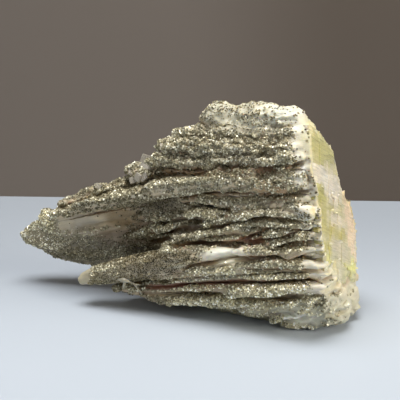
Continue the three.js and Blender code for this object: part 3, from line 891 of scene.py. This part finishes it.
honey = near((0, -7, 44.5), (14, 6, 2.6)) + near((37, -17, 46), (9, 5, 3.6))
honey += near((35, -17, 32.5), (4, 4, 1.6))
rust = 0.3 * near((33, -12, 51.5), (12, 6, 2.2)) + near((29, -16.5, 28.8), (6, 5, 1.8))
rust += low_groove + 0.6 * near((40, -17, 12), (12, 6, 3))
ends = sum(near(place, radii, 0.6) for place, radii, _ in BULGES[:4])  # the rounded ends of ridges
white = np.clip(0.3 * white_edge + ends + prong_patch + 0.9 * foot + 0.95 * top + top_band, 0, 1)
peach = step(y, 7, 13) * step(behind_face, 14, 4) * step(z, 18, 26)
olive = near((47, -2, 62), (10, 20, 10), 0.6) * step(behind_face, 6, 2)
olive += 0.8 * near((48, -18, 59), (3, 5, 9), 0.6) + 0.8 * on_face * step(z, 12, 18)
LAYERS = (  # colour, and the share of it at each point
    ((208, 186, 150), 0.9 * broad),
    ((186, 166, 138), 0.7 * under * clean + 0.3 * groove),
    ((122, 92, 64), 0.8 * groove * step(broad + 0.5 * under, 0.35, 0.8)),
    ((172, 136, 106), 0.7 * strand_groove),
    # painted shade: the skin darkens under the dense crust, for the shadowed gaps between its grains
    ((126, 116, 92), 0.65 * step(crust, 0.3, 0.8) * (1 - 0.8 * low - 0.5 * upper)),
    # painted light: the low front of the ridges is made paler, as if lit from the front
    ((202, 202, 180), 0.6 * low * (1 - groove)),
    ((188, 146, 96), 0.6 * honey),
    ((168, 148, 118), 0.8 * (prong_flank + low_flank)),
    ((196, 168, 134), 0.7 * prong_seam),
    ((132, 102, 70), 0.8 * long_groove),
    ((160, 100, 72), 0.7 * rust),
    ((118, 66, 46), 0.85 * red_seam),
    ((150, 118, 88), 0.6 * near((7, -17.5, 16.5), (7, 5, 2.2))),
    ((182, 172, 152), 0.8 * smooth_horn * step(-x - 6 * wavy(points, (4, 4, 2), 41), 26, 34)),
    ((186, 178, 150), 0.85 * prong_tip),
    ((230, 222, 196), 0.95 * white * (1 - 0.5 * groove)),
    ((196, 192, 166), 0.7 * top * (1 - top_band)),
    ((220, 220, 202), 0.7 * top_band),
    ((194, 190, 166), 0.85 * np.clip(foot + back_foot, 0, 1) * (1 - 0.5 * groove)),
    ((222, 218, 202), 0.8 * white_edge * (1 - groove) * (1 - on_face * step(z, 24, 30))),
    ((240, 238, 224), 0.95 * prong_patch + 1.1 * low_white),
    ((112, 96, 70), 0.6 * near((-9, -8, 37), (16, 6, 4))),
    ((128, 98, 60), 0.8 * near((-9, -6, 23), (16, 6, 8))),
    ((136, 112, 84), 0.7 * near((-24, -6, 20), (9, 6, 5))),
    ((150, 122, 72), 0.7 * near((-20, -5.5, 28), (9, 6, 5))),
    # painted shade: a dark brown patch in the deep hollow of the recess
    ((84, 66, 48), 0.5 * near((6, -11, 30), (10, 7, 5))),
    # painted shade: near-black brown in the hollow behind the prong, under the horn
    ((66, 52, 38), 0.8 * near((-9, -6, 15.5), (15, 5, 5))),
    # painted shade: a dark base under the crust on the horn's low side, which faces down
    ((104, 96, 76), 0.7 * near((-36, -7, 14), (24, 9, 7))),
    ((234, 202, 162), 0.8 * peach),
    ((206, 196, 138), 0.6 * np.clip(olive, 0, 1)),
)
tint = plain_tint((226, 214, 184), points)
for colour, share in LAYERS:
    tint = tinted(tint, colour, share)
store(mesh, "tint", tint)

# %% [markdown]
# Two more numbers at each point steer the crust: how coarse its crystals are, and how bright they are.
# The crust is duller on the prong, the nose of the horn, the top and the left. In the grooves and the
# recess its grains are darkened as painted shade, and on the upward-facing crests and the low front
# they are made paler as painted light.

# %% Coarseness and lustre
LUSTRE_LIGHT_AND_SHADE_ZONES = (  # weight, middle and radii, where the crust is paler, or darker
    (1.2, (-50, -9, 20), (14, 9, 10)),
    (0.6, (-35, -7, 20), (9, 6, 4)),
    (0.5, (-22, -7, 15), (7, 6, 4)),
    (0.5, (-17, -19, 12.5), (10, 6, 4)),
    (1.1, (-9.4, -7, 25), (5, 5, 2.5)),
    (0.5, (-6, -18, 8), (12, 6, 3.5)),
    (0.8, (-5, -9, 28), (11, 6, 6)),
    (-0.4, (-2, -9, 34), (10, 6, 5)),
    (-0.7, (7, -17.5, 16.5), (7, 5, 2.2)),
    # painted shade: darker grains in the deep hollow of the recess
    (-0.7, (9, -13, 25), (9, 8, 8)),
)
nose = near((-48, -9, 18), (14, 9, 9))
leftward = step(x, 12, -16)
coarse = 0.25 + 0.75 * crest + 0.3 * over - 0.5 * prong - 0.3 * smooth_horn - 0.6 * top * (1 - top_band)
# duller on the prong, the nose, the top and the left; painted shade: darker grains in the grooves and the
# recess
worn_and_shaded = 0.8 * prong * (1 - 0.6 * crest) + 0.3 * nose + 0.2 * recess + 0.4 * groove + 0.3 * foot
worn_and_shaded += 0.45 * top + 0.35 * leftward
# painted light: paler grains on the low front and on the upward-facing crests
pale_and_lit = 0.9 * low * (0.6 + crest) + 0.5 * crest * over * leftward + 0.3 * upper
pale_and_lit += 0.45 * in_front * step(z, 44, 38) * step(x, -4, 6) + 0.4 * smooth_horn + sum_of_zones(LUSTRE_LIGHT_AND_SHADE_ZONES)
pale_and_lit -= 0.9 * in_stack((6, -19, 18.5), (13, 6, 4)) + 0.5 * white_edge + 0.6 * long_groove + 0.5 * red_seam
store(mesh, "coarse", np.clip(coarse, 0, 1))
store(mesh, "lustre_light_and_shade", np.clip(0.5 + 0.5 * (pale_and_lit - worn_and_shaded), 0, 1))

# %% [markdown]
# Barite is translucent: light enters, scatters and comes out a few millimetres away, which softens its
# shadows. Subsurface scattering does that. A shared node group gives every barite surface its fine
# grain: cloudy veils that shift the colour, and a small bump of cleavage lines along the stack.

# %% The shared grain of barite
def new_group(name, kind, sockets):
    """A node group with these sockets, and what its input node gives."""
    tree = bpy.data.node_groups.new(name, kind)
    for label, in_out, socket in sockets:
        tree.interface.new_socket(label, in_out=in_out, socket_type="NodeSocket" + socket)
    return tree, add_node(tree, "NodeGroupInput").outputs


grain, given = new_group("barite_grain", "ShaderNodeTree", (
    ("Color", "INPUT", "Color"), ("Veils", "INPUT", "Float"), ("Relief", "INPUT", "Float"),
    ("Turn", "INPUT", "Vector"), ("Size", "INPUT", "Vector"),
    ("Color", "OUTPUT", "Color"), ("Normal", "OUTPUT", "Vector")))
place = object_place(grain)
dipping = add_node(grain, "ShaderNodeMapping", {
    "Vector": place, "Rotation": given["Turn"], "Scale": given["Size"]}, vector_type="TEXTURE").outputs[0]
clouds = noisy(grain, dipping, 1.0, 5, 0.6)
veil = remapped(grain, clouds, 0.3, 0.7, 0.72, 1.22)
veiled = mixed(grain, given["Veils"], given["Color"], veil, "MULTIPLY")
specks = noisy(grain, place, 2600, 3)
height = add_node(grain, "ShaderNodeMath", {0: clouds, 1: specks}, operation="ADD").outputs[0]
relief = add_node(grain, "ShaderNodeBump", {
    "Strength": given["Relief"], "Distance": 0.25 * MM, "Height": height}).outputs[0]
add_node(grain, "NodeGroupOutput", {"Color": veiled, "Normal": relief})

# %% Barite
BARITE_IOR = 1.64


def barite(name, roughness, scatter, veils, relief, turn, size):
    """A barite coloured by its piece's tint. scatter is the light's reach, turn and size the grain's."""
    material, tree, shader = new_material(name, paint(222, 208, 180), roughness)
    grained = add_node(tree, "ShaderNodeGroup", node_tree=grain)
    feed(grained, {"Color": attribute(tree, "tint", "Color"), "Veils": veils, "Relief": relief,
                   "Turn": turn, "Size": [s * MM for s in size]})
    feed(shader, {"Base Color": grained.outputs["Color"], "Normal": grained.outputs["Normal"],
                  "IOR": BARITE_IOR, "Subsurface Weight": 0.55, "Subsurface Radius": (1.0, 0.8, 0.5),
                  "Subsurface Scale": scatter * MM})
    return material


mass_barite = barite("mass_barite", 0.5, 1.2, 0.6, 0.4, (0, -math.atan(SLOPE), 0), (8, 5, 1.4))
slab_barite = barite("slab_barite", 0.22, 3.0, 0.8, 0.5, (-0.42, 0, 0), (4, 6, 0.55))
skin.data.materials.append(mass_barite)

# %% [markdown]
# The face's colours follow its two cleavage directions: olive yellow at the top and down the front
# edge, cream in the middle, peach along the back edge, and a greener yellow low down. Each zone is an
# ellipse, by Y and by the height in the dipping rows, so that its shape follows the slabs.

# %% Tint the slabs
ROW_DIP = 0.42  # how far the rows dip for each mm along Y
SLAB_ZONES = (  # place and reach along Y and up the rows, in mm, and colour
    ((-6, 55), (11.5, 4.6), (204, 195, 138)),
    ((-4, 45.5), (13, 4.2), (238, 224, 202)),
    ((-19.5, 47.5), (2.2, 5), (196, 186, 124)),
    ((-12.5, 40), (5.6, 3.4), (198, 187, 118)),
    ((-7, 35.6), (7, 2.4), (206, 192, 130)),
    ((-13.5, 32.8), (4, 4), (204, 190, 124)),
    ((-1, 41.5), (6, 2.8), (234, 218, 194)),
    ((0, 33.5), (8.5, 2.2), (228, 212, 182)),
    ((-5, 29), (13, 1.9), (198, 184, 118)),
    ((-14.2, 23.8), (5.5, 3.0), (202, 190, 120)),
    ((-1, 24.6), (8, 2.8), (206, 192, 160)),
    ((-12, 18.5), (4.6, 1.4), (222, 212, 138)),
    ((6.5, 19.6), (7, 1.6), (232, 224, 134)),
    ((-11.7, 15.6), (7.5, 2.2), (228, 218, 188)),
    ((4.6, 15), (8.5, 3.6), (202, 194, 142)),
    ((11.2, 40.4), (5, 6.4), (228, 204, 164)),
    ((15.2, 32.5), (8.5, 11), (246, 214, 178)),
    ((17, 39), (2.6, 1.6), (244, 214, 130)),
)
spots = points_of(slab_mesh)
cells = read(slab_mesh.attributes["cell"].data, "vector", 3)
in_cell = cells[:, :2].any(axis=1)[:, None]  # the chips have no cell
flat = np.where(in_cell, 0.55 * spots[:, 1:] + 0.45 * cells[:, :2], spots[:, 1:])
rows = np.column_stack([flat[:, 0], flat[:, 1] + ROW_DIP * flat[:, 0]])
ragged = 0.3 * wavy(spots, (3, 5, 1.2), 3.1)
tint = plain_tint((212, 200, 158), spots)
for centre, radii, colour in SLAB_ZONES:
    tint = tinted(tint, colour, 2.2 - 1.8 * (reach_of(rows, centre, radii) + ragged))
tint *= (0.96 + 0.08 * cells[:, 2])[:, None]
store(slab_mesh, "tint", tint)
slab_mesh.materials.append(slab_barite)

# %% [markdown]
# The crust is tens of thousands of metallic crystals under a millimetre across. Geometry Nodes spreads
# points over the skin where the mask says, never closer than a set distance, puts one of a few small
# crystals on each, turned and sized at random, and makes them real mesh. Each crystal has few faces,
# because every face is paid for thousands of times.

# %% The crust's crystal shapes
GRAIN = 0.6  # mm across
grain_shapes = bpy.data.collections.new("grain_shapes")
bpy.context.scene.collection.children.link(grain_shapes)


def grain_shape(name, make, stretch, **options):
    """A small crystal of about one grain across, made by one bmesh operator."""
    bm = bmesh.new()
    make(bm, **options)
    bmesh.ops.scale(bm, vec=[s * GRAIN / 2 * MM for s in stretch], verts=bm.verts)
    grain_shapes.objects.link(bpy.data.objects.new(name, mesh_from(bm, name)))


grain_shape("grain_ball", bmesh.ops.create_icosphere, (1, 0.9, 0.85), subdivisions=1, radius=1)
grain_shape("grain_cube", bmesh.ops.create_cube, (1, 0.9, 0.8), size=1.5)
grain_shape("grain_octahedron", bmesh.ops.create_uvsphere, (1.1, 1.1, 1),
            u_segments=4, v_segments=2, radius=1)

# %% The node tree that spreads them
JITTER = 0.1 * MM
DENSEST = 12 / MM ** 2  # points for each square metre
BARE = 0.02  # a mask below this holds no crust
spread, given = new_group("spread_crust", "GeometryNodeTree", (
    ("Skin", "INPUT", "Geometry"), ("Mask", "INPUT", "String"), ("Seed", "INPUT", "Int"),
    ("Gap", "INPUT", "Float"), ("Crust", "OUTPUT", "Geometry")))


def named(name):
    """The number that the skin keeps at each point by that name."""
    return add_node(spread, "GeometryNodeInputNamedAttribute", {"Name": name},
                    data_type="FLOAT").outputs["Attribute"]


mask = named(given["Mask"])
empty = add_node(spread, "FunctionNodeCompare", {0: mask, 1: BARE}, operation="LESS_THAN").outputs[0]
kept = add_node(spread, "GeometryNodeDeleteGeometry", {"Geometry": given["Skin"], "Selection": empty},
                domain="POINT").outputs[0]
dots = add_node(spread, "GeometryNodeDistributePointsOnFaces", {
    "Mesh": kept, "Distance Min": given["Gap"], "Density Max": DENSEST, "Density Factor": mask,
    "Seed": given["Seed"]}, distribute_method="POISSON")
shift = add_node(spread, "FunctionNodeRandomValue", {
    "Min": (-JITTER,) * 3, "Max": (JITTER,) * 3, "Seed": 3}, data_type="FLOAT_VECTOR").outputs[0]
moved = add_node(spread, "GeometryNodeSetPosition", {"Geometry": dots.outputs["Points"], "Offset": shift})
turn = add_node(spread, "FunctionNodeRandomValue", {"Max": (math.tau,) * 3}, data_type="FLOAT_VECTOR")
size = add_node(spread, "FunctionNodeRandomValue", {2: 0.5, 3: 0.9}, data_type="FLOAT").outputs[1]
larger = add_node(spread, "ShaderNodeMath", {0: named("coarse"), 1: 0.5}, operation="MULTIPLY").outputs[0]
size = add_node(spread, "ShaderNodeMath", {0: larger, 1: size}, operation="ADD").outputs[0]
shapes = add_node(spread, "GeometryNodeCollectionInfo", {
    "Collection": grain_shapes, "Separate Children": True, "Reset Children": True})
grains = add_node(spread, "GeometryNodeInstanceOnPoints", {
    "Points": moved.outputs[0], "Instance": shapes.outputs[0], "Pick Instance": True,
    "Rotation": turn.outputs["Value"], "Scale": size})
shade = add_node(spread, "FunctionNodeRandomValue", {"Seed": 7}, data_type="FLOAT").outputs[1]
shaded = add_node(spread, "GeometryNodeStoreNamedAttribute", {
    "Geometry": grains.outputs[0], "Name": "shade", "Value": shade}, domain="INSTANCE").outputs[0]
real = add_node(spread, "GeometryNodeRealizeInstances", {0: shaded}).outputs[0]
add_node(spread, "NodeGroupOutput", {0: real})

# %% [markdown]
# The grains are a brassy grey sulphide with a metal's sharp glints. Each has its own shade, from dark
# olive grey to pale silver, and large soft patches make some areas greener than others. Where the
# lustre number is low, the grains are darker and browner, and where it is high they are paler. That
# number holds the crust's own dullness, and also painted shade and painted light.

# %% Sulphide
SHADES = ((0.0, (112, 106, 86)), (0.6, (188, 179, 152)), (1.0, (254, 249, 234)))
sulphide, tree, shader = new_material("sulphide", paint(150, 146, 126), 0.38)
ramp = add_node(tree, "ShaderNodeValToRGB", {"Fac": attribute(tree, "shade", "Fac")})
stops = ramp.color_ramp.elements
stops.new(SHADES[1][0])
for stop, (where, colour) in zip(stops, SHADES):
    stop.position, stop.color = where, paint(*colour)
patches = noisy(tree, object_place(tree), 70, 2)
greener = mixed(tree, patches, ramp.outputs["Color"], paint(238, 240, 226), "MULTIPLY")
lustre_light_and_shade = attribute(tree, "lustre_light_and_shade", "Fac")
strength = remapped(tree, lustre_light_and_shade, 0, 1, 0.3, 1.7)
# painted light and shade: the grains' colour is scaled by the number that holds them besides their lustre
dulled_and_lit = add_node(tree, "ShaderNodeVectorMath", {0: greener, 3: strength}, operation="SCALE").outputs[0]
browner = mixed(tree, remapped(tree, lustre_light_and_shade, 0.5, 0.1), dulled_and_lit, paint(240, 228, 198), "MULTIPLY")
feed(shader, {"Base Color": browner, "Metallic": 0.5})

# %% [markdown]
# The crust is made in several pieces, so that none is too heavy. Each piece has its own mask: the
# crust's mask where one part of the specimen holds it, and 0 elsewhere. The grains stand closest on
# the horn and the prong.

# %% Spread the crust in pieces
GRAIN_GAP = 0.38  # mm between the middles of two grains
LOW_END, HIGH_END = 18, 34  # mm in the levelled stack, where the middle pieces end
high_part = level[:, 2] > HIGH_END
low_part = level[:, 2] < LOW_END
front = y < np.interp(x, [-58, 0, 58], [-7.5, -2, -1])
left = x < np.where(prong > 0, 13, -4)
CRUST_PARTS = {  # where each piece grows, and its gap as a share of the usual one
    "crust_front_upper": (front & high_part & ~left, 1.0),
    "crust_front_middle": (front & ~high_part & ~low_part & ~left, 1.0),
    "crust_front_lower": (front & low_part & ~left, 1.0),
    "crust_front_left": (front & left, 0.8),
    "crust_back_upper": (~front & high_part & ~left, 1.1),
    "crust_back_lower": (~front & ~high_part & ~left, 1.1),
    "crust_back_left": (~front & left, 1.1),
}
keys = {item.name: item.identifier for item in spread.interface.items_tree if item.in_out == "INPUT"}
crust_pieces = []
for seed, (name, (held, gap)) in enumerate(CRUST_PARTS.items()):
    store(mesh, name, crust * held)
    piece = show(name, mesh.copy())
    pattern = piece.modifiers.new("spread", "NODES")
    pattern.node_group = spread
    pattern[keys["Mask"]] = name
    pattern[keys["Seed"]] = seed
    pattern[keys["Gap"]] = GRAIN_GAP * MM * gap
    apply_modifiers(piece)
    mesh.attributes.remove(mesh.attributes[name])
    piece.data.materials.clear()
    piece.data.materials.append(sulphide)
    crust_pieces.append(piece)
    print(name, triangles_of(piece.data), "triangles")
for shape in list(grain_shapes.objects):
    bpy.data.objects.remove(shape)

# %% [markdown]
# A few clear tabular crystals grew last, on the shoulder of the mass. Barite's plates are flat with
# bevelled rims, so each is a thin cube turned its own way, with its edges bevelled. Light passes
# through them, bent by barite's refractive index, and is scattered a little by cloudy patches.

# %% Clear plates
PLATE_BEVEL = 0.16  # mm
PLATES = (  # middle, size in mm and turn in degrees
    ((-11.4, -5.0, 48.0), (3.6, 2.9, 1.0), (72, 20, 25)),
    ((-9.6, -4.4, 47.6), (2.9, 3.4, 0.9), (80, -30, 10)),
    ((-11.0, -6.6, 46.0), (3.2, 2.9, 1.0), (50, 35, -20)),
    ((-8.8, -6.0, 46.4), (2.7, 2.9, 0.9), (80, 5, 60)),
    ((-13.6, -6.8, 45.0), (2.9, 2.4, 0.9), (60, -25, 0)),
    ((-15.6, -7.4, 43.6), (2.4, 2.2, 0.8), (30, 30, 40)),
    ((-12.2, -9.6, 43.0), (2.9, 2.5, 1.0), (70, 15, -30)),
    ((-10.2, -9.4, 43.2), (2.5, 2.4, 0.8), (45, -40, 15)),
    ((-14.2, -9.4, 41.8), (2.2, 2.0, 0.8), (70, -10, 35)),
    ((-28.6, -6.6, 37.4), (2.0, 1.9, 0.7), (60, 25, 20)),
)
plates = bmesh.new()
for place, size, turn in PLATES:
    turned = Matrix.LocRotScale(Vector(place) * MM, Euler([math.radians(a) for a in turn]),
                                Vector(size) * MM)
    bmesh.ops.create_cube(plates, size=1, matrix=turned)
bevel(plates, plates.edges[:], PLATE_BEVEL * MM)
plate_mesh = mesh_from(plates, "clear_plates")
clear_plates = show("clear_plates", plate_mesh)

clear_barite, tree, shader = new_material("clear_barite", paint(216, 208, 192), 0.2)
cloudy = remapped(tree, noisy(tree, object_place(tree), 900, 3), 0.35, 0.65, 0.05, 0.35)
feed(shader, {"Roughness": cloudy, "IOR": BARITE_IOR, "Transmission Weight": 0.5})
plate_mesh.materials.append(clear_barite)
print("plates:", len(plate_mesh.polygons), "faces")

# %% [markdown]
# Pale threads lie across the end of the lowest ridges, like drips that set hard. Each is a short curve
# with a round section that swells and thins along its length, turned into mesh.

# %% Pale threads
THREADS = (  # points along each thread, in mm, and its half thickness there
    ((-14.6, -19.8, 11.3, 0.4), (-13.2, -20.0, 11.5, 0.9),
     (-11.6, -19.8, 11.3, 0.8), (-10.6, -19.4, 11.0, 0.4)),
    ((-12.4, -19.9, 11.0, 0.5), (-12.6, -19.5, 9.8, 0.5),
     (-13.4, -18.6, 8.6, 0.45), (-14.0, -18.0, 7.8, 0.3)),
    ((-10.8, -19.5, 11.0, 0.3), (-9.8, -19.2, 10.4, 0.3), (-8.8, -18.6, 10.0, 0.4), (-7.8, -18.0, 9.8, 0.2)),
    ((-9.4, -18.8, 10.0, 0.3), (-8.8, -18.0, 8.6, 0.35), (-8.3, -17.2, 7.2, 0.3), (-8.0, -16.6, 6.2, 0.2)),
)
line = bpy.data.curves.new("threads", "CURVE")
line.dimensions = "3D"
line.bevel_depth = MM
line.bevel_resolution = 3
line.use_fill_caps = True
for course in THREADS:
    spline = line.splines.new("NURBS")
    spline.points.add(len(course) - 1)
    for point, (*place, half) in zip(spline.points, course):
        point.co = (*(v * MM for v in place), 1)
        point.radius = half
    spline.order_u = 3
    spline.use_endpoint_u = True
drawn = show("threads_drawn", line)
thread_mesh = finished_mesh(drawn)
thread_mesh.name = "pale_threads"
bpy.data.objects.remove(drawn)
pale_threads = show("pale_threads", thread_mesh)
thread_mesh.shade_smooth()
store(thread_mesh, "tint", plain_tint((168, 162, 142), thread_mesh.vertices))
thread_mesh.materials.clear()
thread_mesh.materials.append(mass_barite)
print("threads:", len(thread_mesh.polygons), "faces")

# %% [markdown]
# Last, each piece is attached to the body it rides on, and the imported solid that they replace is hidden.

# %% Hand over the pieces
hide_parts("barite_mass")
for piece in [skin, cleavage]:
    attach(piece, "root")
for piece in crust_pieces:
    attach(piece, "root")
for piece in [clear_plates, pale_threads]:
    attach(piece, "root")
